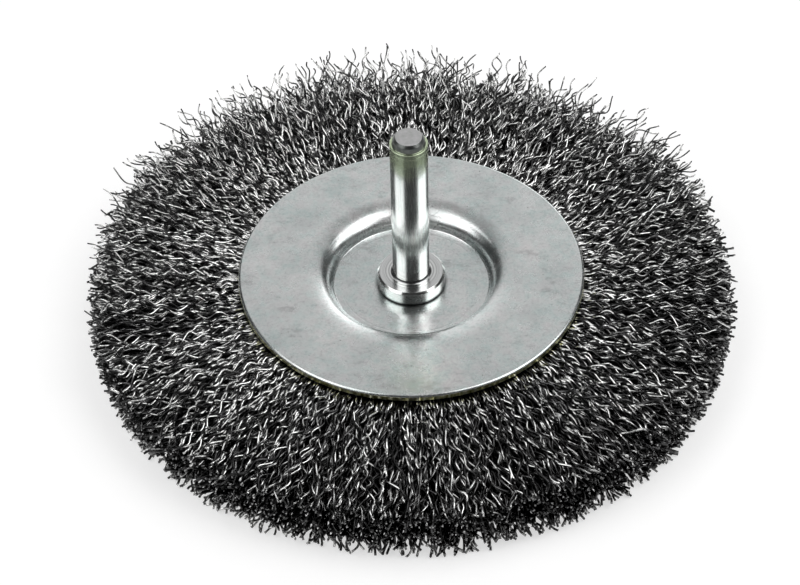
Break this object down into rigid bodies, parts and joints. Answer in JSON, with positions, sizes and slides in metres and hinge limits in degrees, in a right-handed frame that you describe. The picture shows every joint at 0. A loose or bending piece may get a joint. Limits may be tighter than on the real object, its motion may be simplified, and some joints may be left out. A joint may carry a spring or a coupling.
{
  "type": "shank-mounted crimped wire wheel brush",
  "caption": "Flat round brush of crimped steel wire, clamped between two dished sheet flanges on a plain round shank with a collar, for use in a drill chuck.",
  "frame": {"origin": "on the brush axis, level with the lowest wire tips, on which the brush lies flat", "axes": "+Z along the brush axis, from the lower flange up the shank towards its free end; X and Y lie in the plane of the flanges"},
  "size_m": [0.1056, 0.106, 0.0377],
  "materials": {
    "shank_steel": "bright turned and plated steel, polished",
    "flange_sheet": "bright zinc-plated sheet steel, semi-gloss with faint cloudy marks",
    "ring_steel": "plain steel",
    "brush_wire": "dark drawn crimped steel wire with bright glints"
  },
  "bodies": {
    "root": {"shank": "shank_steel", "top_flange": "flange_sheet", "bottom_flange": "flange_sheet", "core_ring": "ring_steel", "wire_bundle_01": "brush_wire", "wire_bundle_02": "brush_wire", "wire_bundle_03": "brush_wire", "wire_bundle_04": "brush_wire", "wire_bundle_05": "brush_wire", "wire_bundle_06": "brush_wire", "wire_bundle_07": "brush_wire", "wire_bundle_08": "brush_wire", "wire_bundle_09": "brush_wire", "wire_bundle_10": "brush_wire", "wire_bundle_11": "brush_wire", "wire_bundle_12": "brush_wire", "wire_bundle_13": "brush_wire", "wire_bundle_14": "brush_wire", "wire_bundle_15": "brush_wire", "wire_bundle_16": "brush_wire", "wire_bundle_17": "brush_wire", "wire_bundle_18": "brush_wire"}
  },
  "joints": []
}
